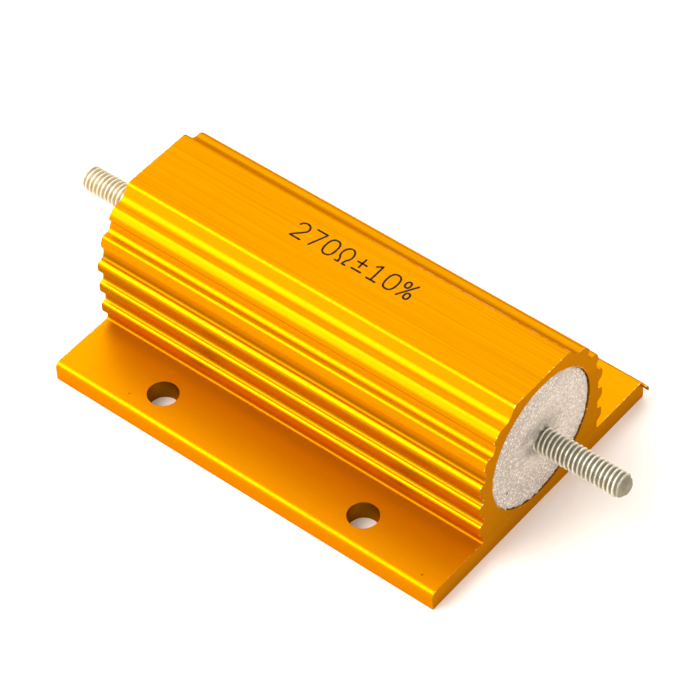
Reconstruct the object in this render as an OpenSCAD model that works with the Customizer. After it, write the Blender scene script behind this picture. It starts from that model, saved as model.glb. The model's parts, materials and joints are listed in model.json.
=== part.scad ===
// Chassis-mount power resistor in a ribbed aluminium housing.
// X runs along the bore from stud to stud, Y across the two feet, Z up.
// The origin is the middle of the mounting face, so everything stands on Z = 0.
// All lengths are millimetres.

/* [Housing] */
// Length of the sawn extrusion
body_len = 65.8; // [50:0.1:90]
// Width across the two feet
foot_w = 46.8; // [46:0.1:56]
// Thickness of the feet
foot_t = 3.25; // [2.5:0.05:3.6]
// Height from the mounting face to the flat on top
body_h = 24.6; // [24.4:0.05:26]
// Width of the flat on top
flat_w = 11.9; // [10:0.1:12.5]
// Half width of the side wall, at the bottom of its grooves
wall_y = 12.5; // [12:0.05:12.8]
// How far a rib stands out of the side wall
rib_h = 0.97; // [0.5:0.01:1.2]
// Height of the lowest rib's upper face
rib_z = 7.12; // [7:0.02:7.2]
// Distance from one rib to the next, up the side
rib_pitch = 4; // [3.9:0.02:4.02]

/* [Bore] */
// Radius of the bore
bore_r = 10.6; // [9:0.05:10.7]
// Height of the bore's centre line
bore_z = 12.7; // [12.4:0.05:12.9]

/* [Mounting holes] */
// Distance between the holes along the housing
hole_pitch_x = 35; // [20:0.5:45]
// Distance between the holes across the housing
hole_pitch_y = 37; // [34:0.5:38]
// Diameter of each hole
hole_d = 4.5; // [3:0.1:5]

/* [Terminal studs] */
// Outside diameter of the stud's thread
stud_d = 3.88; // [3:0.02:4]
// Length of the right stud past the end of the housing
stud_right = 13.95; // [8:0.05:20]
// Length of the left stud past the end of the housing
stud_left = 13.5; // [8:0.05:20]
// Length of the chamfer at a stud's tip
stud_chamfer = 0.45; // [0.2:0.05:0.8]
// Diameter of the plain shank between a stud's head and its thread
shank_d = 3.5; // [2.5:0.02:3.6]
// Length of plain shank that shows between the cement and the thread
shank_shown = 0.15; // [0.05:0.05:1]
// Diameter of the flat head that is welded to the end cap
head_d = 8; // [6:0.1:10]
// Thickness of that head
head_t = 1.2; // [0.8:0.1:2]

/* [Resistance element] */
// Diameter of the ceramic core
core_d = 13; // [8:0.5:14]
// Length of the ceramic core
core_len = 50; // [36:0.5:54]
// Wall thickness of an end cap
cap_t = 0.5; // [0.3:0.05:0.8]
// Length of an end cap along the core
cap_len = 6.5; // [5:0.5:9]
// Diameter of the resistance wire
wire_d = 0.6; // [0.3:0.05:0.8]
// Number of turns of resistance wire
turns = 17; // [6:1:24]
// How far the cement's face lies inside the bore
cement_recess = 0.25; // [0:0.05:1]

/* [Saw burr] */
// Length of the curled burr that the saw left on one foot
burr_len = 0.95; // [0.2:0.05:1.5]
// Thickness of the burr
burr_t = 0.25; // [0.1:0.05:0.4]

/* [Hidden] */
$fn = 96;

LEFT = -1;
RIGHT = 1;
half_len = body_len / 2;
foot_y = foot_w / 2;
rib_y = wall_y + rib_h;
stud_r = stud_d / 2;
shank_r = shank_d / 2;
core_r = core_d / 2;
cap_r = core_r + cap_t;
wire_r = wire_d / 2;
cap_face = core_len / 2 + cap_t;      // outer face of an end cap
cap_rim = cap_face - cap_t - cap_len; // where the cap ends on the core
head_face = cap_face + head_t;
cement_face = half_len - cement_recess;
weld_x = cap_rim + 2;                 // the wire ends on the cap, this far out
clearance = 0.02;                     // keeps round neighbours from cutting into each other
arc_step = 15;                        // degrees for each short facet of a rounded edge

foot_edge_r = 0.8;                    // upper edge of a foot
foot_sole_r = 0.2;                    // lower edge of a foot
root_r = 0.4;                         // where the side wall meets the foot
rib_foot_r = 0.3;                     // fillet under a rib
rib_root_r = 0.52;                    // fillet above a rib
rib_lip_r = 0.75;                     // lower edge of a rib
rib_face_r = 2;                       // fullness of a rib's outer face
rib_crest_r = 0.5;                    // upper edge of a rib

// ---- outlines -------------------------------------------------------------------------
// A corner is [y, z, r]: the point where two straight faces would meet, and the radius
// that rounds it. The same functions round corners that stand out and corners that go in.

function unit(v) = v / norm(v);
function cross2(a, b) = a[0] * b[1] - a[1] * b[0];

function rounded_corner(before, corner, after, r) =
    let(
        u = unit(before - corner),
        v = unit(after - corner),
        opening = acos(u * v),
        centre = corner + unit(u + v) * r / sin(opening / 2),
        start = corner + u * r / tan(opening / 2),
        turn = 180 - opening,
        sense = cross2(u, v) > 0 ? -1 : 1,
        steps = max(2, ceil(turn / arc_step)),
        spoke = start - centre
    )
    [for (i = [0 : steps])
        let(a = sense * turn * i / steps)
        centre + [spoke[0] * cos(a) - spoke[1] * sin(a), spoke[0] * sin(a) + spoke[1] * cos(a)]];

function point(corner) = [corner[0], corner[1]];

// Rounds each corner of an open run, and leaves its two ends sharp.
function rounded_run(corners) =
    let(last = len(corners) - 1)
    [point(corners[0]),
     for (i = [1 : last - 1])
        each rounded_corner(point(corners[i - 1]), point(corners[i]), point(corners[i + 1]),
                            corners[i][2]),
     point(corners[last])];

// ---- the extrusion's section ------------------------------------------------------------

// A rib on the side wall: a sloping lower face, a lip, a slightly full outer face, a crest
// and a nearly level upper face that runs into the wall with a fillet.
function rib(top, reach, crest_r) = [
    [wall_y, top - 2.3, rib_foot_r],
    [reach - 0.09, top - 1.93, rib_lip_r],
    [reach, top - 1.13, rib_face_r],
    [reach - 0.11, top - 0.03, crest_r],
    [wall_y, top + 0.08, rib_root_r]
];

// The third rib sits where the wall starts to lean in.
third = rib_z + 2 * rib_pitch;

// The right-hand half of the section, from the sole up to the flat on top.
half_section = concat(
    [[0, 0, 0],
     [foot_y, 0, foot_sole_r],
     [foot_y, foot_t, foot_edge_r],
     [wall_y, foot_t, root_r]],
    rib(rib_z, rib_y, rib_crest_r),
    rib(rib_z + rib_pitch, rib_y, rib_crest_r),
    [[wall_y, third - 2.35, rib_foot_r],
     [rib_y - 0.17, third - 1.93, rib_lip_r],
     [rib_y - 0.06, third - 1.05, rib_face_r],
     [rib_y - 0.19, third - 0.08, 0.85],
     [wall_y - 0.4, third + 0.06, 0.5]],
    // The fourth rib hangs over the third with a lip.
    [[wall_y - 0.6, 16.8, 0.2],
     [12.4, 17.34, 0.35],
     [12.26, 17.98, 1.6],
     [11.86, 18.97, 0.55],
     [10.42, 19.04, 0.95]],
    // The shoulder hangs over the fourth rib, and a flute leads from it to the flat.
    [[9.93, 20.42, 0.25],
     [10.29, 20.93, 0.16],
     [10.06, 21.5, 2.2],
     [9.13, body_h - 2.12, 0.85],
     [flat_w / 2 + 1.53, body_h - 2.12, 1.6],
     [flat_w / 2, body_h, 0.45],
     [0, body_h, 0]]
);

module half_profile() {
    polygon(rounded_run(half_section));
}

module section() {
    half_profile();
    mirror([1, 0]) half_profile();
}

// Turns a drawing in the YZ plane into a bar along X, between two stations.
module along_x(from, to) {
    translate([from, 0, 0])
        rotate([90, 0, 90])
            linear_extrude(height = to - from) children();
}

// A cylinder or cone on the bore's centre line.
module turned(from, to, r_from, r_to) {
    translate([from, 0, bore_z])
        rotate([0, 90, 0])
            cylinder(h = to - from, r1 = r_from, r2 = r_to);
}

module on_side(side) {
    if (side == LEFT) mirror([1, 0, 0]) children();
    else children();
}

module mounting_holes() {
    for (x = [-1, 1], y = [-1, 1])
        translate([x * hole_pitch_x / 2, y * hole_pitch_y / 2, -1])
            cylinder(h = foot_t + 2, d = hole_d);
}

// The saw pushed a thin curl of metal out of the rounded edge of the rear right foot.
module saw_burr() {
    centre = [foot_y - foot_edge_r, foot_t - foot_edge_r];
    curl = [for (a = [-25 : 15 : 80]) [cos(a), sin(a)]];
    outer = [for (p = curl) centre + p * foot_edge_r];
    inner = [for (i = [len(curl) - 1 : -1 : 0]) centre + curl[i] * (foot_edge_r - burr_t)];
    along_x(half_len - 0.5, half_len + burr_len) intersection() {
        polygon(concat(outer, inner));
        section();
    }
}

// ---- pieces --------------------------------------------------------------------------------

module housing() {
    color([0.95, 0.62, 0.08]) {
        difference() {
            union() {
                along_x(-half_len, half_len) section();
                saw_burr();
            }
            turned(-half_len - 1, half_len + 1, bore_r, bore_r);
            mounting_holes();
        }
    }
}

// The cement fills the bore round the element and leaves only the studs outside.
module cement_fill() {
    room_r = (cap_r + clearance) * chord_growth + 2 * wire_r + clearance;
    color([0.78, 0.74, 0.69]) difference() {
        turned(-cement_face, cement_face, bore_r, bore_r);
        turned(-weld_x - 1, weld_x + 1, room_r, room_r);
        turned(-cap_face, cap_face, cap_r, cap_r);
        turned(-head_face, head_face, head_d / 2, head_d / 2);
        turned(-half_len, half_len, shank_r, shank_r);
    }
}

module ceramic_core() {
    color([0.93, 0.91, 0.86]) turned(-core_len / 2, core_len / 2, core_r, core_r);
}

// One wire runs from cap to cap. It lies on the core, and at each end it climbs onto the cap.
wire_steps = 20;    // rings for each turn
chord_growth = 1 / cos(180 / wire_steps);   // keeps the chords between rings off the core
wire_sides = 6;
climb = 0.75;       // turns that the climb takes
weld_turns = 0.4;   // turns that lie on the cap
all_turns = turns + 2 * weld_turns;

function smooth(t) = let(s = min(1, max(0, t))) s * s * (3 - 2 * s);
function wire_x(t) = -weld_x + 2 * weld_x * t / all_turns;
function wire_path_r(t) =
    let(
        to_end = min(t, all_turns - t),
        before_cap = (weld_x - cap_rim + wire_r + clearance) * all_turns / (2 * weld_x),
        low = (core_r + clearance) * chord_growth + wire_r,
        high = (cap_r + clearance) * chord_growth + wire_r
    )
    high + (low - high) * smooth((to_end - before_cap) / climb);

wire_points = [
    for (i = [0 : wire_steps * all_turns], j = [0 : wire_sides - 1])
        let(
            t = i / wire_steps,
            a = 360 * t,
            b = 360 * j / wire_sides,
            r = wire_path_r(t) + wire_r * cos(b)
        )
        [wire_x(t) + wire_r * sin(b), r * cos(a), bore_z + r * sin(a)]
];
wire_rings = len(wire_points) / wire_sides;
wire_faces = concat(
    [[for (j = [0 : wire_sides - 1]) j]],
    [for (i = [0 : wire_rings - 2], j = [0 : wire_sides - 1])
        let(k = (j + 1) % wire_sides, a = i * wire_sides, b = a + wire_sides)
        [a + j, b + j, b + k, a + k]],
    [[for (j = [wire_sides - 1 : -1 : 0]) (wire_rings - 1) * wire_sides + j]]
);

module resistance_winding() {
    color([0.62, 0.6, 0.56]) polyhedron(points = wire_points, faces = wire_faces);
}

module end_cap(side) {
    color([0.72, 0.72, 0.7]) on_side(side) difference() {
        turned(cap_rim, cap_face, cap_r, cap_r);
        turned(cap_rim - 1, cap_face - cap_t, core_r, core_r);
    }
}

// A stud with a flat head and a plain shank, as thin as the blank that a thread is rolled on.
// The thread's outside is a plain cylinder with a chamfered tip.
module terminal_stud(side, reach) {
    tip = half_len + reach;
    thread_start = cement_face + shank_shown;
    color([0.7, 0.68, 0.62]) on_side(side) union() {
        turned(cap_face, head_face, head_d / 2, head_d / 2);
        turned(cap_face, thread_start, shank_r, shank_r);
        turned(thread_start, tip - stud_chamfer, stud_r, stud_r);
        turned(tip - stud_chamfer, tip, stud_r, stud_r - stud_chamfer);
    }
}

housing();
cement_fill();
ceramic_core();
resistance_winding();
end_cap(LEFT);  // end_cap_left
end_cap(RIGHT);  // end_cap_right
terminal_stud(LEFT, stud_left);  // terminal_stud_left
terminal_stud(RIGHT, stud_right);  // terminal_stud_right
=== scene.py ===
# %% [markdown]
# # A power resistor in a ribbed aluminium housing
#
# The real thing is a short length of aluminium extrusion, dyed orange-gold when it was anodised.
# It has two drilled feet and a bore. A wound ceramic core sits in the bore, held by grey cement,
# and a threaded stud comes out of each end. The CAD model gives the frame: every piece here takes
# its size and place from that frame, and adds what CAD leaves out, which is rounded edges fine
# enough to shine, threads, crumbly cement, a printed value, and the finishes.

# %% Load the frame
import json
import math

import bmesh
import bpy
import numpy as np
from mathutils import Matrix, Vector, noise


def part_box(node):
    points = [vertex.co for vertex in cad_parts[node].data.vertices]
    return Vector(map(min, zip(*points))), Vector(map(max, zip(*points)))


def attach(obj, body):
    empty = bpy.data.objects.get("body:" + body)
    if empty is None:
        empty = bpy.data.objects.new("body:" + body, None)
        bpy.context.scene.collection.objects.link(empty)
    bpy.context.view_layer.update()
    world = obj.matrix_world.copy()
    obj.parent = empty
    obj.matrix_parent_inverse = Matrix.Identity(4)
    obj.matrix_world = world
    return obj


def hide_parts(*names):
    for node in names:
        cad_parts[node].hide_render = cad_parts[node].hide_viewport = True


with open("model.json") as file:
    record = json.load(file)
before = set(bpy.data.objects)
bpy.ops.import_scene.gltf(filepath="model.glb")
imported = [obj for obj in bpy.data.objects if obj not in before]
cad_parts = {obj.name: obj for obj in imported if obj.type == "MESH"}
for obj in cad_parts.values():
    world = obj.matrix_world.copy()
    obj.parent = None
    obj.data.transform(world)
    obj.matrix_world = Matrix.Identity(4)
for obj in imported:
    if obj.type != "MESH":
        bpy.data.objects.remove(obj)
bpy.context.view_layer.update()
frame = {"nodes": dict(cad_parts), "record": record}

print("nodes:", ", ".join(sorted(frame["nodes"])))

# %% [markdown]
# ## Sizes
#
# Lengths are written in millimetres, as on the drawing, and become metres only when a mesh is
# made. The driving sizes are read from the boxes of the CAD nodes and from the mounts in the
# record, so a change to the CAD model comes through. What no box can tell, such as the heights of
# the ribs, repeats the named values of the CAD source.

# %% Driving sizes, in millimetres
MM = 0.001


def node_box(name):
    """The lowest and highest corners of a CAD node, in millimetres."""
    low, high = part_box(name)
    return np.array(low) / MM, np.array(high) / MM


def mount(name):
    return next(m for m in frame["record"]["mounts"] if m["name"] == name)


housing_low, housing_high = node_box("housing")
cement_low, cement_high = node_box("cement_fill")
half_len = -housing_low[0]
foot_y = housing_high[1]
body_h = housing_high[2]
bore_r = (cement_high[1] - cement_low[1]) / 2
bore_z = (cement_high[2] + cement_low[2]) / 2
cement_face = cement_high[0]
burr_len = housing_high[0] - half_len
holes = mount("mounting_holes")["dims"]
stud_r = mount("stud_right")["dims"]["r_mm"]

foot_t = 3.25
flat_w = 11.9
wall_y = 12.5
rib_y = wall_y + 0.97
rib_z = 7.12
rib_pitch = 4.0
print(f"housing {2 * half_len:.1f} long, {2 * foot_y:.1f} wide, {body_h:.1f} high; bore {bore_r:.2f}")

# %% [markdown]
# ## The section of the extrusion
#
# An extrusion is one outline pushed through a die, so the outline is the whole design. Each corner
# is given as `(y, z, radius)`: where two straight faces would meet, and the radius that rounds
# them. One function turns every corner into an arc. The CAD model does the same with coarse arcs.
# Here they are fine, because a glossy edge shows every facet, and the two long edges of the flat are
# a little rounder than in CAD, so that they catch a line of light.

# %% Rounding corners
ARC_STEP = math.radians(6)


def rounded_corner(before, corner, after, radius):
    """Points along the arc that rounds one corner."""
    u = (before - corner) / np.linalg.norm(before - corner)
    v = (after - corner) / np.linalg.norm(after - corner)
    opening = math.acos(float(np.dot(u, v)))
    centre = corner + (u + v) / np.linalg.norm(u + v) * radius / math.sin(opening / 2)
    spoke = corner + u * radius / math.tan(opening / 2) - centre
    sense = -1 if u[0] * v[1] - u[1] * v[0] > 0 else 1
    steps = max(3, math.ceil((math.pi - opening) / ARC_STEP))
    turns = np.linspace(0, sense * (math.pi - opening), steps + 1)
    return [centre + (spoke[0] * math.cos(a) - spoke[1] * math.sin(a),
                      spoke[0] * math.sin(a) + spoke[1] * math.cos(a)) for a in turns]


def rounded_run(corners):
    """Rounds every corner of an open run apart from its two ends."""
    points = [np.array(c[:2], float) for c in corners]
    run = [points[0]]
    for i in range(1, len(corners) - 1):
        run += rounded_corner(points[i - 1], points[i], points[i + 1], corners[i][2])
    return run + [points[-1]]


# %% The corners, from the sole up to the flat on top
def rib(top, reach, crest_r):
    return [(wall_y, top - 2.3, 0.3), (reach - 0.09, top - 1.93, 0.75), (reach, top - 1.13, 2),
            (reach - 0.11, top - 0.03, crest_r), (wall_y, top + 0.08, 0.52)]


third = rib_z + 2 * rib_pitch
foot_corners = [(0, 0, 0), (foot_y, 0, 0.2), (foot_y, foot_t, 0.8), (wall_y, foot_t, 0.4)]
lower_ribs = rib(rib_z, rib_y, 0.5) + rib(rib_z + rib_pitch, rib_y, 0.5)
third_rib = [(wall_y, third - 2.35, 0.3), (rib_y - 0.17, third - 1.93, 0.75),
             (rib_y - 0.06, third - 1.05, 2), (rib_y - 0.19, third - 0.08, 0.85),
             (wall_y - 0.4, third + 0.06, 0.5)]
fourth_rib = [(wall_y - 0.6, 16.8, 0.2), (12.4, 17.34, 0.35), (12.26, 17.98, 1.6),
              (11.86, 18.97, 0.55), (10.42, 19.04, 0.95)]
shoulder = [(9.93, 20.42, 0.25), (10.29, 20.93, 0.16), (10.06, 21.5, 2.2),
            (9.13, body_h - 2.12, 0.85), (flat_w / 2 + 1.53, body_h - 2.12, 1.6),
            (flat_w / 2, body_h, 0.8), (0, body_h, 0)]
half_section = rounded_run(foot_corners + lower_ribs + third_rib + fourth_rib + shoulder)
section = half_section[:-1] + [(-y, z) for y, z in reversed(half_section)][:-1]
print(f"the section has {len(section)} points")

# %% [markdown]
# ## Mesh helpers
#
# Three ways of making a mesh cover every piece: a bar pushed along X, a grid that closes round an
# axis, and a boolean cut. Each mesh is shaded smooth, then its sharp edges are marked by angle, and
# normals are weighted by area so that wide flat faces stay flat right up to their rounded edges.

# %% Mesh helpers
def add_mesh(name, points, faces):
    """A mesh object from points in millimetres."""
    mesh = bpy.data.meshes.new(name)
    mesh.from_pydata([tuple(float(c) * MM for c in p) for p in points], [], faces)
    mesh.validate()
    piece = bpy.data.objects.new(name, mesh)
    bpy.context.scene.collection.objects.link(piece)
    return piece


def apply_modifiers(piece):
    bpy.context.view_layer.update()
    baked = bpy.data.meshes.new_from_object(piece.evaluated_get(bpy.context.evaluated_depsgraph_get()))
    piece.modifiers.clear()
    piece.data = baked
    baked.name = piece.name
    return piece


def shade(piece, sharp_degrees=32):
    """Smooth shading that keeps sharp edges sharp and flat faces flat."""
    piece.data.polygons.foreach_set("use_smooth", [True] * len(piece.data.polygons))
    piece.data.set_sharp_from_angle(angle=math.radians(sharp_degrees))
    weighted = piece.modifiers.new("weighted", "WEIGHTED_NORMAL")
    weighted.keep_sharp = True
    weighted.weight = 100
    return apply_modifiers(piece)


def bar(name, outline, x_from, x_to):
    """A drawing in the YZ plane, pushed along X."""
    n = len(outline)
    points = [(x, y, z) for x in (x_from, x_to) for y, z in outline]
    sides = [(i, (i + 1) % n, n + (i + 1) % n, n + i) for i in range(n)]
    return add_mesh(name, points, sides + [tuple(reversed(range(n))), tuple(range(n, 2 * n))])


def cut(piece, cutters):
    """Takes the cutters out of a piece, exactly, and removes them."""
    for cutter in cutters:
        boolean = piece.modifiers.new(cutter.name, "BOOLEAN")
        boolean.operation = "DIFFERENCE"
        boolean.solver = "EXACT"
        boolean.object = cutter
    apply_modifiers(piece)
    for cutter in cutters:
        bpy.data.objects.remove(cutter)
    return piece


def rod(name, radius, start, end, sides=160):
    """A plain round cutter between two points."""
    start, end = Vector(start), Vector(end)
    turn = (end - start).to_track_quat("Z", "Y")
    ring = [Vector((radius * math.cos(a), radius * math.sin(a), 0))
            for a in np.linspace(0, 2 * math.pi, sides, endpoint=False)]
    points = [base + turn @ p for base in (start, end) for p in ring]
    walls = [(i, (i + 1) % sides, sides + (i + 1) % sides, sides + i) for i in range(sides)]
    ends = [tuple(reversed(range(sides))), tuple(range(sides, 2 * sides))]
    return add_mesh(name, points, walls + ends)


def report(piece):
    low = [min(v.co[i] for v in piece.data.vertices) / MM for i in range(3)]
    high = [max(v.co[i] for v in piece.data.vertices) / MM for i in range(3)]
    size = " x ".join(f"{h - l:.2f}" for l, h in zip(low, high))
    print(f"{piece.name}: {len(piece.data.polygons)} faces, {size} mm")


# %% [markdown]
# ## The housing
#
# The bar is drilled by booleans: the bore, the four mounting holes, and a small nick at one corner
# of the front foot. The saw left a thin curl of metal hanging from the rounded edge of the rear
# foot. It is a strip that follows that edge past the sawn end, and thins towards its tip.

# %% Drill the bar
housing = bar("ribbed_housing", section, -half_len, half_len)
bore_cutter = rod("bore_cutter", bore_r, (-half_len - 1, 0, bore_z), (half_len + 1, 0, bore_z), 220)
hole_x = holes["spacing_x_mm"] / 2
hole_y = holes["spacing_y_mm"] / 2
hole_cutters = [
    rod(f"hole_{i}_{j}", holes["hole_r_mm"], (i * hole_x, j * hole_y, -1),
        (i * hole_x, j * hole_y, foot_t + 1), 96)
    for i in (-1, 1) for j in (-1, 1)]
nick = rod("nick", 0.22, (half_len - 0.25, -foot_y + 0.2, foot_t + 0.12),
           (half_len + 0.3, -foot_y + 1.1, foot_t + 0.1), 10)
cut(housing, [bore_cutter, *hole_cutters, nick])


# %% The curl that the saw left
def saw_curl():
    edge_r = 0.8       # the rounded edge of the foot that the curl hangs from
    overlap = 0.3      # how far the strip reaches back onto the foot
    root_t, tip_t = 0.24, 0.11
    centre = np.array((foot_y - edge_r, foot_t - edge_r))
    angles = np.radians(np.linspace(-28, 84, 15))
    stations = np.linspace(0, 1, 9)
    points = []
    for s in stations:
        x = half_len - overlap + s * (burr_len + overlap)
        sag = 0.10 * s ** 2
        wave = 0.03 * np.sin(9 * angles + 5 * s)
        for skin, radius in (("outer", edge_r), ("inner", edge_r - root_t + (root_t - tip_t) * s)):
            ring = [(x + (wave[i] * s if skin == "outer" else wave[i] * s - 0.04 * s),
                     centre[0] + radius * math.cos(a) - 0.4 * sag,
                     centre[1] + radius * math.sin(a) - sag) for i, a in enumerate(angles)]
            points += ring if skin == "outer" else ring[::-1]
    n = 2 * len(angles)
    faces = [(k * n + i, k * n + (i + 1) % n, (k + 1) * n + (i + 1) % n, (k + 1) * n + i)
             for k in range(len(stations) - 1) for i in range(n)]
    faces += [tuple(reversed(range(n))), tuple(range((len(stations) - 1) * n, len(stations) * n))]
    return add_mesh("saw_curl", points, faces)


curl = saw_curl()
housing = shade(housing)
curl = shade(curl)
report(housing)
report(curl)

# %% [markdown]
# ## The cement
#
# The potting cement is sandy and shrinks a little as it sets. Its face is a fine polar grid, pushed
# in and out by noise: grains all over, a slightly hollow rim, and a rough collar where it has
# climbed the stud. Inside, the casting keeps the room for the element that the CAD solid has.

# %% Closing a grid round the bore's centre line
def revolved(name, rings, closed=True):
    """rings is a list of arrays of points, all of one length; faces join each ring to the next."""
    n = len(rings[0])
    points = np.concatenate(rings)
    count = len(rings)
    faces = [(a * n + i, a * n + (i + 1) % n, b * n + (i + 1) % n, b * n + i)
             for a in range(count if closed else count - 1)
             for b in [(a + 1) % count] for i in range(n)]
    return add_mesh(name, points, faces)


def ring_at(x, radius, sides):
    """A ring of points at station x. x and radius may be numbers or one value for each point."""
    a = np.linspace(0, 2 * math.pi, sides, endpoint=False)
    return np.stack([x + 0 * a, radius * np.cos(a), bore_z + radius * np.sin(a)], axis=1)


# %% The casting
HEAD_T = 1.2          # thickness of a stud's flat head
CEMENT_SIDES = 300
FACE_RINGS = 56
cement_random = np.random.default_rng(7)


def grain(points, scale):
    return np.array([noise.noise(Vector(p) * scale) for p in points])


def face_rings(side):
    """Rings from the stud out to the bore, on one end face."""
    rings = []
    a = np.linspace(0, 2 * math.pi, CEMENT_SIDES, endpoint=False)
    for t in np.linspace(0, 1, FACE_RINGS):
        radius = stud_r - 0.1 + (bore_r - stud_r + 0.1) * t
        ring = ring_at(side * cement_face, radius, CEMENT_SIDES)
        height = 0.09 * grain(ring, 1.1) + 0.07 * grain(ring, 3.1)
        height += cement_random.normal(0, 0.028, CEMENT_SIDES)
        rim = np.clip((radius - bore_r + 0.5) / 0.5, 0, 1) ** 2
        height -= rim * (0.12 + 0.22 * np.clip(np.cos(a), 0, 1) + 0.3 * grain(ring, 2.1))
        collar = np.clip(1 - (radius - stud_r) / 0.9, 0, 1) ** 2
        height += collar * (0.28 + 0.35 * grain(ring, 1.7))
        ring[:, 0] += side * (height + 0.12)
        rings.append(ring)
    return rings


def cavity_rings():
    """The hollow round the element, from the left stud hole to the right one."""
    cap_face = node_box("end_cap_right")[1][0]
    cap_r = (node_box("end_cap_right")[1][1] - node_box("end_cap_right")[0][1]) / 2
    winding = node_box("resistance_winding")
    room_r = (winding[1][1] - winding[0][1]) / 2 + 0.02
    room_x = winding[1][0] + 0.6
    head_face = cap_face + HEAD_T
    head_r = 4.0
    half = [(0, room_r), (room_x, room_r), (room_x, cap_r), (cap_face, cap_r), (cap_face, head_r),
            (head_face, head_r), (head_face, stud_r), (cement_face - 0.4, stud_r)]
    profile = [(-x, r) for x, r in reversed(half[1:])] + half[1:]
    return [ring_at(x, r, CEMENT_SIDES) for x, r in profile]


right_face = face_rings(1)
left_face = face_rings(-1)
cement = revolved("cement_casting", cavity_rings() + right_face + left_face[::-1])
shade(cement, 60)
report(cement)

# %% [markdown]
# ## The studs
#
# Each stud has a rolled M4 thread. The surface is a height field round the axis: for each angle and
# each station, the thread's phase gives the radius. A 60 degree profile with a narrow crest and a
# rounded root is one short function of that phase. Towards the tip the crests sink along a quarter
# of a sine wave, which gives a worn, domed end. The right stud is more domed than the left one.

# %% A threaded stud
PITCH = 0.7
THREAD_DEPTH = 0.37
WEAR = 0.035
STUD_SIDES = 72
STEPS_PER_PITCH = 16


def thread_dip(phase):
    """0 on the crest and 1 in the root, as a share of the thread's depth."""
    to_crest = np.abs((phase % 1) - 0.5) * 2
    flank = np.clip((to_crest - 0.2) / 0.62, 0, 1)
    return flank - 0.09 * np.sin(2 * math.pi * flank)


def threaded_stud(name, node, side, dome_len, tip_drop):
    low, high = node_box(node)
    root_x, tip_x = (low[0], high[0]) if side > 0 else (-high[0], -low[0])
    head_r = (high[1] - low[1]) / 2
    thread_from = root_x + HEAD_T + 1.0
    turns = np.linspace(0, 1, STUD_SIDES, endpoint=False)
    stations = np.arange(thread_from, tip_x, PITCH / STEPS_PER_PITCH)
    rings = [ring_at(root_x, 0.01, STUD_SIDES), ring_at(root_x, head_r - 0.15, STUD_SIDES),
             ring_at(root_x + 0.15, head_r, STUD_SIDES), ring_at(root_x + HEAD_T, head_r, STUD_SIDES),
             ring_at(root_x + HEAD_T, stud_r, STUD_SIDES)]
    tip_r = stud_r - tip_drop
    for x in stations:
        dip = thread_dip(x / PITCH - turns) * THREAD_DEPTH
        runout = np.clip((x - thread_from) / PITCH, 0, 1)
        ring = ring_at(x, stud_r, STUD_SIDES)
        dome = math.sin(math.pi / 2 * min(1, (tip_x - x) / dome_len))
        crest = tip_r + (stud_r - tip_r) * dome
        wear = WEAR * (grain(ring, 0.9) + grain(ring, 2.6)) - 0.02
        radius = crest - dip * runout * (0.2 + 0.8 * dome ** 3) + wear
        rings.append(ring_at(x, np.minimum(radius, stud_r), STUD_SIDES))
    rings += [ring_at(tip_x - 0.03, tip_r, STUD_SIDES), ring_at(tip_x, tip_r - 0.1, STUD_SIDES),
              ring_at(tip_x - 0.02, tip_r * 0.5, STUD_SIDES), ring_at(tip_x - 0.03, 0.01, STUD_SIDES)]
    for ring in rings:
        ring[:, 0] *= side
    stud = revolved(name, rings, closed=False)
    bm = bmesh.new()
    bm.from_mesh(stud.data)
    bmesh.ops.remove_doubles(bm, verts=bm.verts, dist=0.002 * MM)
    bmesh.ops.holes_fill(bm, edges=[e for e in bm.edges if e.is_boundary])
    bmesh.ops.recalc_face_normals(bm, faces=bm.faces)
    bm.to_mesh(stud.data)
    bm.free()
    shade(stud, 50)
    report(stud)
    return stud


stud_right = threaded_stud("threaded_stud_right", "terminal_stud_right", 1, dome_len=1.25, tip_drop=0.95)
stud_left = threaded_stud("threaded_stud_left", "terminal_stud_left", -1, dome_len=0.6, tip_drop=0.5)

# %% [markdown]
# ## The printed value
#
# The housing carries one short line of thin, dark characters. It reads along X, a little to the
# right of the middle. The characters are drawn here as single strokes made of lines and arcs, the
# way an engraving machine would draw them: a generic resistance and tolerance, in plain digits and
# signs. Each stroke becomes a thin film with round ends and a slightly uneven edge.

# %% Characters made of strokes
CHAR_STEP = 2.58
STROKE_W = 0.30
FILM_T = 0.012


def arc(cx, cy, rx, ry, start, end, steps=22):
    return [(cx + rx * math.cos(a), cy + ry * math.sin(a))
            for a in np.radians(np.linspace(start, end, steps))]


def oval(cx, cy, rx, ry):
    """A closed, slightly square loop."""
    loop = []
    for a in np.radians(np.linspace(0, 360, 41)):
        c, s = math.cos(a), math.sin(a)
        across, up = math.copysign(abs(c) ** 0.8, c), math.copysign(abs(s) ** 0.8, s)
        loop.append((cx + rx * across, cy + ry * up))
    return loop


CHARACTERS = {
    "0": [oval(1.0, 1.55, 0.88, 1.45)],
    "1": [[(0.3, 2.45), (1.05, 3.0), (1.05, 0.1)], [(0.3, 0.1), (1.8, 0.1)]],
    "2": [arc(1.0, 2.15, 0.86, 0.85, 165, -38) + [(0.12, 0.1), (1.9, 0.1)]],
    "7": [[(0.12, 3.0), (1.88, 3.0), (0.75, 0.1)]],
    "%": [[(0.15, 0.1), (1.85, 3.0)], oval(0.48, 2.4, 0.38, 0.55), oval(1.52, 0.7, 0.38, 0.55)],
    "±": [[(0.2, 1.75), (1.8, 1.75)], [(1.0, 2.6), (1.0, 0.9)], [(0.2, 0.3), (1.8, 0.3)]],
    "Ω": [[(0.12, 0.1), (0.68, 0.1)] + arc(1.0, 1.8, 0.88, 1.2, 236, -56) + [(1.32, 0.1), (1.88, 0.1)]],
}

# %% Turn the strokes into a film of ink
ink_random = np.random.default_rng(21)


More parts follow.
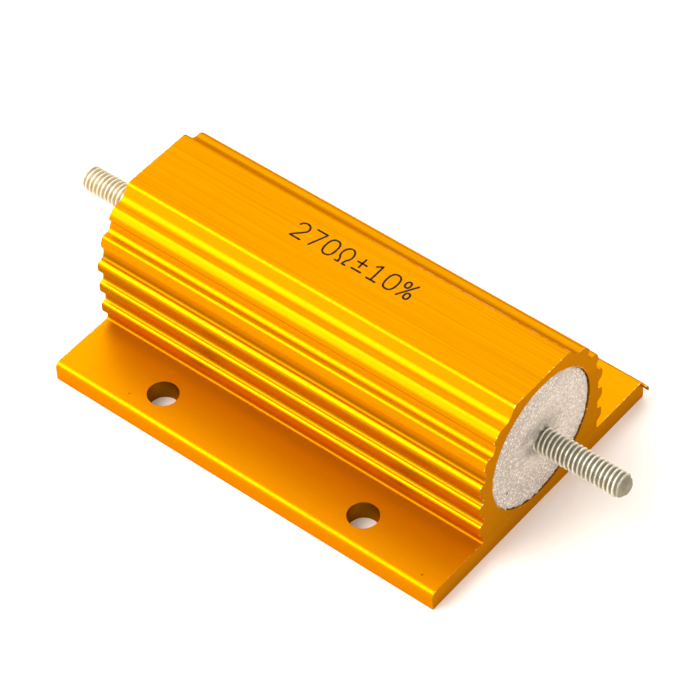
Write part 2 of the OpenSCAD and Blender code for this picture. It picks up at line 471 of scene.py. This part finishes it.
def film(stroke):
    """The outline of one stroke: left side, round end, right side, round end."""
    points = [np.array(stroke[0])]
    for p in stroke[1:]:
        step = np.array(p) - points[-1]
        parts = max(1, int(np.linalg.norm(step) / 0.18))
        points += [points[-1] + step * (k + 1) / parts for k in range(parts)]
    points = np.array(points)
    along = np.gradient(points, axis=0)
    along /= np.linalg.norm(along, axis=1)[:, None]
    across = np.stack([-along[:, 1], along[:, 0]], axis=1)
    width = STROKE_W / 2 * (1 + ink_random.normal(0, 0.06, len(points)))[:, None]
    left, right = points + across * width, points - across * width
    closed = np.linalg.norm(points[0] - points[-1]) < 0.01
    if closed:
        left[-1], right[-1] = left[0], right[0]
    return left, right, along, closed


def printed_line(text, x_from, y_from):
    points, faces = [], []
    for column, character in enumerate(text):
        for stroke in CHARACTERS[character]:
            left, right, along, closed = film(stroke)
            if not closed:
                cap = STROKE_W / 2
                first = (left[0] + right[0]) / 2 - along[0] * cap
                last = (left[-1] + right[-1]) / 2 + along[-1] * cap
                left = np.vstack([first, left, last])
                right = np.vstack([first, right, last])
            start = len(points)
            n = len(left)
            offset = np.array((x_from + column * CHAR_STEP, y_from))
            for z in (body_h + FILM_T, body_h - 0.02):
                points += [(*(p + offset), z) for p in left] + [(*(p + offset), z) for p in right]
            for i in range(n - 1):
                a, b, c, d = start + i, start + i + 1, start + n + i + 1, start + n + i
                faces.append((d, c, b, a))
                lower = 2 * n
                faces.append((a, b, b + lower, a + lower))
                faces.append((c, d, d + lower, c + lower))
                faces.append((a + lower, b + lower, c + lower, d + lower))
    piece = add_mesh("printed_value", points, faces)
    bm = bmesh.new()
    bm.from_mesh(piece.data)
    bmesh.ops.remove_doubles(bm, verts=bm.verts, dist=0.001 * MM)
    bmesh.ops.dissolve_degenerate(bm, edges=bm.edges, dist=0.0005 * MM)
    bmesh.ops.recalc_face_normals(bm, faces=bm.faces)
    bm.to_mesh(piece.data)
    bm.free()
    return piece


print_piece = printed_line("270Ω±10%", -9.5, -0.1)
report(print_piece)

# %% [markdown]
# ## Writing shaders as expressions
#
# Shader maths reads best as maths. `Socket` wraps one output of a node and overloads the operators,
# so `1 - mask` or `a * b + c` adds the Math nodes by itself. `Finish` owns one material and has a
# single method, `node`, for every other kind of node: its type, its settings, and its inputs.

# %% The socket wrapper
class Socket:
    """One output socket. Maths on it adds Math nodes to the same material."""

    def __init__(self, finish, socket):
        self.finish = finish
        self.socket = socket

    def _math(self, operation, *values):
        inputs = dict(enumerate(values))
        return self.finish.node("ShaderNodeMath", {"operation": operation}, inputs)

    def __add__(self, other):
        return self._math("ADD", self, other)

    __radd__ = __add__

    def __sub__(self, other):
        return self._math("SUBTRACT", self, other)

    def __rsub__(self, other):
        return self._math("SUBTRACT", other, self)

    def __mul__(self, other):
        return self._math("MULTIPLY", self, other)

    __rmul__ = __mul__

    def __truediv__(self, other):
        return self._math("DIVIDE", self, other)

    def __rtruediv__(self, other):
        return self._math("DIVIDE", other, self)

    def __abs__(self):
        return self._math("ABSOLUTE", self)

    def __gt__(self, other):
        return self._math("GREATER_THAN", self, other)

    def __lt__(self, other):
        return self._math("LESS_THAN", self, other)

    def clamp(self):
        return self._math("MINIMUM", self._math("MAXIMUM", self, 0.0), 1.0)

    def ramp(self, low, high):
        """0 below low, 1 above high, and a straight line between."""
        return ((self - low) / (high - low)).clamp()


# %% One method for every other node
class Finish:
    """A material whose nodes are added by expressions."""

    def __init__(self, name):
        self.material = bpy.data.materials.new(name)
        self.material.use_nodes = True
        self.tree = self.material.node_tree
        self.tree.nodes.clear()

    def node(self, kind, settings=None, inputs=None, output=0):
        made = self.tree.nodes.new(kind)
        for key, value in (settings or {}).items():
            setattr(made, key, value)
        for key, value in (inputs or {}).items():
            if isinstance(value, Socket):
                self.tree.links.new(value.socket, made.inputs[key])
            else:
                made.inputs[key].default_value = value
        return Socket(self, made.outputs[output])

    def mix(self, factor, a, b):
        """Mixes two colours; a and b are colours or sockets."""
        named = {0: factor}
        for index, value in ((6, a), (7, b)):
            named[index] = value if isinstance(value, Socket) else (*value, 1)
        return self.node("ShaderNodeMix", {"data_type": "RGBA", "clamp_factor": True}, named, 2)

    def place(self):
        """The point on the surface, in millimetres in the part's own frame."""
        point = self.node("ShaderNodeTexCoord", output=3)
        return self.node("ShaderNodeVectorMath", {"operation": "SCALE"}, {0: point, "Scale": 1000.0})

    def stretched(self, point, scales):
        return self.node("ShaderNodeVectorMath", {"operation": "MULTIPLY"}, {0: point, 1: scales})

    def parts(self, vector):
        return [self.node("ShaderNodeSeparateXYZ", None, {0: vector}, i) for i in range(3)]

    def noise(self, vector, scale, detail=2.0, roughness=0.5):
        return self.node("ShaderNodeTexNoise", None, {"Vector": vector, "Scale": scale,
                                                      "Detail": detail, "Roughness": roughness})

    def cells(self, vector, scale, output=0):
        return self.node("ShaderNodeTexVoronoi", None, {"Vector": vector, "Scale": scale}, output)

    def from_axis(self, point):
        """How far a point is from the centre line of the bore, in millimetres."""
        centre = (0, 0, bore_z)
        offset = self.node("ShaderNodeVectorMath", {"operation": "SUBTRACT"}, {0: point, 1: centre})
        in_section = self.stretched(offset, (0, 1, 1))
        return self.node("ShaderNodeVectorMath", {"operation": "LENGTH"}, {0: in_section}, 1)

    def near(self, point, centre, radius):
        """1 inside a small ball round a point in millimetres, with a soft edge."""
        away = self.node("ShaderNodeVectorMath", {"operation": "DISTANCE"}, {0: point, 1: centre}, 1)
        return 1 - away.ramp(radius * 0.6, radius)

    def bump(self, height, distance, normal=None):
        inputs = {"Height": height, "Distance": distance * MM, "Strength": 1.0}
        if normal is not None:
            inputs["Normal"] = normal
        return self.node("ShaderNodeBump", None, inputs)

    def surface(self, **inputs):
        """The Principled shader and the output."""
        named = {}
        for key, value in inputs.items():
            colour = isinstance(value, tuple) and len(value) == 3
            named[key.replace("_", " ")] = (*value, 1) if colour else value
        shader = self.node("ShaderNodeBsdfPrincipled", None, named)
        output = self.tree.nodes.new("ShaderNodeOutputMaterial")
        self.tree.links.new(shader.socket, output.inputs["Surface"])
        return self.material


# %% [markdown]
# ## The anodised finish
#
# Dyed anodising lets the metal shine through its colour, so the shader is a metal with an orange
# base. Light that bounces twice between ribs gets that colour twice and turns deep brown-orange by
# itself. Fine die lines run along the extrusion, plainest on faces that look up. Shade and light are
# also painted into the colour: painted shade on the walls between the ribs and in the drilled holes,
# painted light on the ledges on top of the ribs and on the tops of the feet. The sawn ends were
# anodised too, but their rough surface is duller, with pale chips where the saw broke the edge.
#
# A mask is a value that is 1 on one part of the surface and 0 elsewhere. Each mask here is worked
# out from where a point is and which way it faces, and a mix then paints through it.

# %% Anodised aluminium
ANODISED = (0.50, 0.195, 0.0004)
SAWN = (0.51, 0.212, 0.005)
BARE = (0.85, 0.72, 0.48)
GRAZING_TINT = (1.0, 0.5, 0.02)   # keeps the dye's colour where the metal is seen at a low angle
RIB_WALL_PAINTED_SHADE = 0.68           # painted shade: how dark the walls between the ribs are painted, against the flat's colour
LEDGE_PAINTED_LIGHT = 1.65     # painted light on top of the ribs
FOOT_PAINTED_LIGHT = 1.3       # painted light on top of the feet
HOLE_PAINTED_SHADE = 0.25       # painted shade on the walls of the drilled holes


def scaled(colour, factor):
    return tuple(factor * c for c in colour)


def anodised_finish():
    finish = Finish("anodised_aluminium")
    point = finish.place()
    x, y, z = finish.parts(point)
    facing_x, _, facing_z = finish.parts(finish.node("ShaderNodeTexCoord", output=1))
    sawn = (abs(facing_x) > 0.8) * (abs(x) > half_len - 0.3)
    level = facing_z.ramp(0.8, 0.97)
    foot = (z < foot_t + 0.04) * level
    broad = finish.noise(finish.stretched(point, (0.008, 1.0, 1.0)), 2.4, 3.0, 0.6)
    lines = finish.noise(finish.stretched(point, (0.02, 3.0, 3.0)), 2.2, 3.0, 0.7)
    pores = finish.noise(point, 7.0, 2.0, 0.7)
    streaks = broad.ramp(0.36, 0.64) * 0.4 + lines.ramp(0.36, 0.64) * 0.6
    dye_and_painted_light = finish.mix(streaks * (0.25 + level * 0.75), scaled(ANODISED, 1.12), scaled(ANODISED, 0.84))
    # Painted shade: below the shoulder, the walls between the ribs and the faces that don't look up are
    # painted darker. The rib crests are left out.
    crest = facing_z.ramp(0.1, 0.5) * abs(y).ramp(wall_y + 0.25, wall_y + 0.55)
    below_shoulder = 1 - z.ramp(15.5, 17.0)
    low = (z > foot_t + 0.05) * below_shoulder * (1 - crest)
    dye_and_painted_light = finish.mix(low, dye_and_painted_light, scaled(ANODISED, RIB_WALL_PAINTED_SHADE))
    # Painted light: the ledges on top of the ribs are painted lighter.
    past_wall = abs(y).ramp(wall_y, wall_y + 0.3)
    painted_ledge_light = (z > foot_t + 1) * below_shoulder * facing_z.ramp(0.72, 0.92) * past_wall
    dye_and_painted_light = finish.mix(painted_ledge_light, dye_and_painted_light, scaled(ANODISED, LEDGE_PAINTED_LIGHT))
    # Painted light: the tops of the feet are painted lighter, a little less over the pores.
    dye_and_painted_light = finish.mix(foot * (1 - pores.ramp(0.3, 0.7) * 0.3), dye_and_painted_light, scaled(ANODISED, FOOT_PAINTED_LIGHT))
    # Painted shade: the walls of the drilled holes are painted darker.
    painted_hole_shade = (z < foot_t - 0.1) * (abs(y) < foot_y - 1.5) * (1 - sawn)
    dye_and_painted_light = finish.mix(painted_hole_shade * 0.65, dye_and_painted_light, scaled(ANODISED, HOLE_PAINTED_SHADE))
    matte = finish.mix(pores.ramp(0.35, 0.75) * 0.35, SAWN, scaled(SAWN, 0.8))
    colour = finish.mix(sawn, dye_and_painted_light, matte)
    edge = (1 - abs(y - (flat_w / 2 - 0.12)).ramp(0.02, 0.07)) * (z > body_h - 0.2)
    rubbed = finish.noise(finish.stretched(point, (0.5, 1, 1)), 1.4, 3.0).ramp(0.42, 0.56)
    worn = edge * rubbed * x.ramp(-4.0, 8.0)
    outer_rim = abs(x).ramp(half_len - 0.18, half_len - 0.05) * (1 - sawn)
    bore_rim = sawn * (1 - finish.from_axis(point).ramp(bore_r + 0.08, bore_r + 0.22))
    chips = (outer_rim + bore_rim) * (finish.noise(point, 2.4, 2.0) > 0.62)
    dust = sawn * (finish.noise(point, 3.4, 1.0) > 0.775)
    chip_on_rib = finish.near(point, (14.2, -12.55, 18.6), 0.22)
    bare = (worn * 0.45 + chips * 0.8 + dust * 0.5 + chip_on_rib).clamp()
    colour = finish.mix(bare, colour, BARE)
    left_speck = finish.near(point, (-21.2, -21.3, foot_t), 0.16)
    specks = left_speck + finish.near(point, (29.8, -21.6, foot_t), 0.2)
    colour = finish.mix(specks.clamp() * 0.7, colour, (0.12, 0.04, 0.0))
    rough = 0.36 + lines * 0.08 + foot * 0.05 + low * 0.08 + sawn * 0.28 + bare * 0.1
    relief = (broad * 0.5 + lines * 0.6) * (0.15 + level * 0.85 - foot * 0.6) * (1 - sawn)
    relief = relief + pores * (sawn * 0.9 + foot * 0.4)
    return finish.surface(Base_Color=colour, Metallic=1.0, Roughness=rough,
                          Specular_Tint=GRAZING_TINT, Normal=finish.bump(relief, 0.012))


# %% [markdown]
# ## Cement, plating and ink
#
# Cement is a dry mix of pale grains, a few darker ones and some glassy glints. The studs have a
# dull, warm zinc colour that is bright on the worn crests and grey in the roots. One plating is
# made in two copies: the left stud's is painted lighter, as painted light, and the right stud's
# darker, as painted shade, and it also carries more stain. The ink is almost black and lets a
# little orange through where it is thin.

# %% Cement
def cement_finish():
    finish = Finish("potting_cement")
    point = finish.place()
    grain_tone = finish.parts(finish.cells(point, 5.0, 1))[0]
    soft = finish.noise(point, 0.55, 4.0, 0.6)
    sand = finish.noise(point, 5.5, 3.0, 0.7)
    base = finish.mix(soft.ramp(0.3, 0.7), (0.73, 0.63, 0.535), (0.63, 0.54, 0.455))
    middle = finish.near(point, (cement_face, 2.5, bore_z + 0.5), 9.0)
    base = finish.mix((1 - middle) * 0.85, base, (0.48, 0.41, 0.345))
    base = finish.mix(grain_tone.ramp(0.66, 0.92) * 0.8, base, (0.95, 0.87, 0.78))
    base = finish.mix((1 - grain_tone.ramp(0.06, 0.22)) * 0.42, base, (0.36, 0.30, 0.24))
    collar = 1 - finish.from_axis(point).ramp(stud_r, stud_r + 1.8)
    cloud = finish.near(point, (cement_face, -1.9, bore_z + 1.9), 3.6) * sand.ramp(0.3, 0.55)
    smudge = (collar * soft.ramp(0.35, 0.55) + cloud * soft.ramp(0.3, 0.6)).clamp()
    base = finish.mix(smudge * 0.7, base, (0.30, 0.265, 0.21))
    # Painted shade: a small pit in the cement is painted almost black, not cut into the face.
    pit_painted_shade = finish.near(point, (cement_face, -7.3, 8.3), 0.3)
    base = finish.mix(pit_painted_shade, base, (0.05, 0.045, 0.04))
    normal = finish.bump(sand * 0.6 + grain_tone * 0.4, 0.15)
    rough = 0.92 - grain_tone.ramp(0.9, 0.97) * 0.5
    return finish.surface(Base_Color=base, Roughness=rough, Normal=normal)


# %% Plated steel
def plated_finish(name, root, worn, stained):
    finish = Finish(name)
    point = finish.place()
    crest = finish.from_axis(point).ramp(stud_r - THREAD_DEPTH, stud_r - 0.03)
    stain = finish.noise(point, 0.9, 4.0, 0.6)
    scratch = finish.noise(finish.stretched(point, (6, 1.2, 1.2)), 1.6, 2.0)
    colour = finish.mix(crest, root, worn)
    colour = finish.mix(stain.ramp(0.4, 0.65) * stained, colour, (0.34, 0.31, 0.23))
    rough = 0.48 - crest * 0.14 + stain * 0.14
    normal = finish.bump(scratch * 0.6 + stain * 0.4, 0.05)
    return finish.surface(Base_Color=colour, Metallic=0.9, Roughness=rough, Normal=normal)


# %% Ink
def ink_finish():
    finish = Finish("marking_ink")
    point = finish.place()
    thin = finish.noise(point, 3.0, 3.0).ramp(0.58, 0.8)
    colour = finish.mix(thin * 0.35, (0.016, 0.006, 0.003), (0.12, 0.035, 0.002))
    return finish.surface(Base_Color=colour, Roughness=0.6 + thin * 0.2, Specular_IOR_Level=0.12)


# %% [markdown]
# ## Finishes that stay inside
#
# The core, the winding and the end caps are sealed in, and still get the finish that they would
# show if someone sawed the part open.

# %% Ceramic, wire and cap steel
def mottled(name, light, dark, scale, stretch=(1, 1, 1), **inputs):
    """A finish with two tones and a fine bump, for the pieces that are sealed in."""
    finish = Finish(name)
    tone = finish.noise(finish.stretched(finish.place(), stretch), scale, 3.0)
    colour = finish.mix(tone.ramp(0.3, 0.7), light, dark)
    return finish.surface(Base_Color=colour, Normal=finish.bump(tone, 0.02), **inputs)


ceramic = mottled("core_ceramic", (0.86, 0.83, 0.77), (0.78, 0.75, 0.69), 2.0, Roughness=0.7)
wire = mottled("resistance_wire", (0.58, 0.55, 0.50), (0.45, 0.42, 0.38), 1.5, (0.3, 1, 1),
               Metallic=1.0, Roughness=0.35)
cap_steel = mottled("cap_steel", (0.62, 0.62, 0.60), (0.50, 0.50, 0.49), 1.2,
                    Metallic=1.0, Roughness=0.4)

# %% [markdown]
# ## Dress the frame
#
# Each new piece rides on the one rigid body of this part. Where it stands for a CAD node, the node
# is hidden. The sealed nodes keep their CAD shape and only get a finish.

# %% Attach the pieces
def dress(piece, material, slot, *nodes):
    piece.data.materials.clear()
    piece.data.materials.append(material)
    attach(piece, "root")
    if nodes:
        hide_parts(*nodes)


anodised = anodised_finish()
# Painted light and shade: one plating, in a lit copy for the left stud and a shaded copy for the right
# stud.
plating_painted_lit = plated_finish("plating_painted_lit", (0.53, 0.465, 0.33), (0.75, 0.67, 0.49), 0.25)
plating_painted_shaded = plated_finish("plating_painted_shaded", (0.22, 0.195, 0.135), (0.80, 0.77, 0.65), 0.5)
dress(housing, anodised, "anodised_housing", "housing")
dress(curl, anodised, "anodised_housing")
dress(print_piece, ink_finish(), "anodised_housing")
dress(cement, cement_finish(), "cement", "cement_fill")
dress(stud_right, plating_painted_shaded, "plated_stud", "terminal_stud_right")
dress(stud_left, plating_painted_lit, "plated_stud", "terminal_stud_left")
for node_name, material in (("ceramic_core", ceramic), ("resistance_winding", wire),
                            ("end_cap_left", cap_steel), ("end_cap_right", cap_steel)):
    mesh = frame["nodes"][node_name].data
    mesh.materials.clear()
    mesh.materials.append(material)
print("dressed", len(frame["nodes"]), "nodes")

# %% [markdown]
# ## Floor, light and camera
#
# The part stands on a plain pale floor. A metal shows what it mirrors, so the lights are set by
# what each face looks at: a soft box to the front and left gives the yellow lines on the rounded
# edges, a panel behind gives the even orange of the flat, the floor lights the sides, and a weak
# panel on the right keeps the sawn end and the shadow from going dark.

# %% Floor
def floor_finish():
    finish = Finish("pale_floor")
    tone = finish.noise(finish.place(), 0.01, 2.0)
    colour = finish.mix(tone, (0.92, 0.855, 0.79), (0.93, 0.865, 0.80))
    return finish.surface(Base_Color=colour, Roughness=0.8)


FLOOR_HALF = 4000
floor_corners = [(i * FLOOR_HALF, j * FLOOR_HALF, 0) for i, j in ((-1, -1), (1, -1), (1, 1), (-1, 1))]
floor = add_mesh("floor", floor_corners, [(0, 1, 2, 3)])
floor.data.materials.append(floor_finish())

# %% Camera
AIM = Vector((3.17, -3.14, 12.65)) * MM
AZIMUTH, ELEVATION, ROLL = math.radians(40.47), math.radians(48.03), math.radians(-2.14)
DISTANCE = 0.4708


def direction(azimuth, elevation):
    """Unit vector towards a place that is azimuth round from the front and elevation up."""
    return Vector((math.sin(azimuth) * math.cos(elevation), -math.cos(azimuth) * math.cos(elevation),
                   math.sin(elevation)))


camera = bpy.data.objects.new("camera", bpy.data.cameras.new("camera"))
bpy.context.scene.collection.objects.link(camera)
towards = direction(AZIMUTH, ELEVATION)
camera.location = AIM + towards * DISTANCE
looking = towards.to_track_quat("Z", "Y").to_matrix() @ Matrix.Rotation(ROLL, 3, "Z")
camera.rotation_euler = looking.to_euler()
camera.data.lens = 180.54
camera.data.sensor_width = 36
camera.data.clip_start = 0.01
bpy.context.scene.camera = camera

# %% Lights
def panel(name, azimuth, elevation, distance, width, height, radiance, colour=(1, 1, 1)):
    """A soft box that faces the part. Its power follows from the brightness that it should show."""
    light = bpy.data.lights.new(name, "AREA")
    light.shape = "RECTANGLE"
    light.size, light.size_y = width, height
    light.energy = radiance * math.pi * width * height
    light.color = colour
    lamp = bpy.data.objects.new(name, light)
    away = direction(math.radians(azimuth), math.radians(elevation))
    lamp.location = AIM + away * distance
    lamp.rotation_euler = away.to_track_quat("Z", "Y").to_euler()
    bpy.context.scene.collection.objects.link(lamp)


panel("front_left_box", -45, 45, 0.9, 0.85, 0.85, 5.2)
panel("back_left_panel", -140, 46, 1.1, 1.0, 0.7, 1.5)
panel("right_fill", 85, 48, 1.2, 1.1, 1.0, 0.35)

world = bpy.data.worlds.new("studio")
bpy.context.scene.world = world
world.use_nodes = True
world.node_tree.nodes["Background"].inputs["Color"].default_value = (1.0, 0.985, 0.97, 1)
world.node_tree.nodes["Background"].inputs["Strength"].default_value = 0.98
bpy.context.scene.view_settings.view_transform = "Standard"
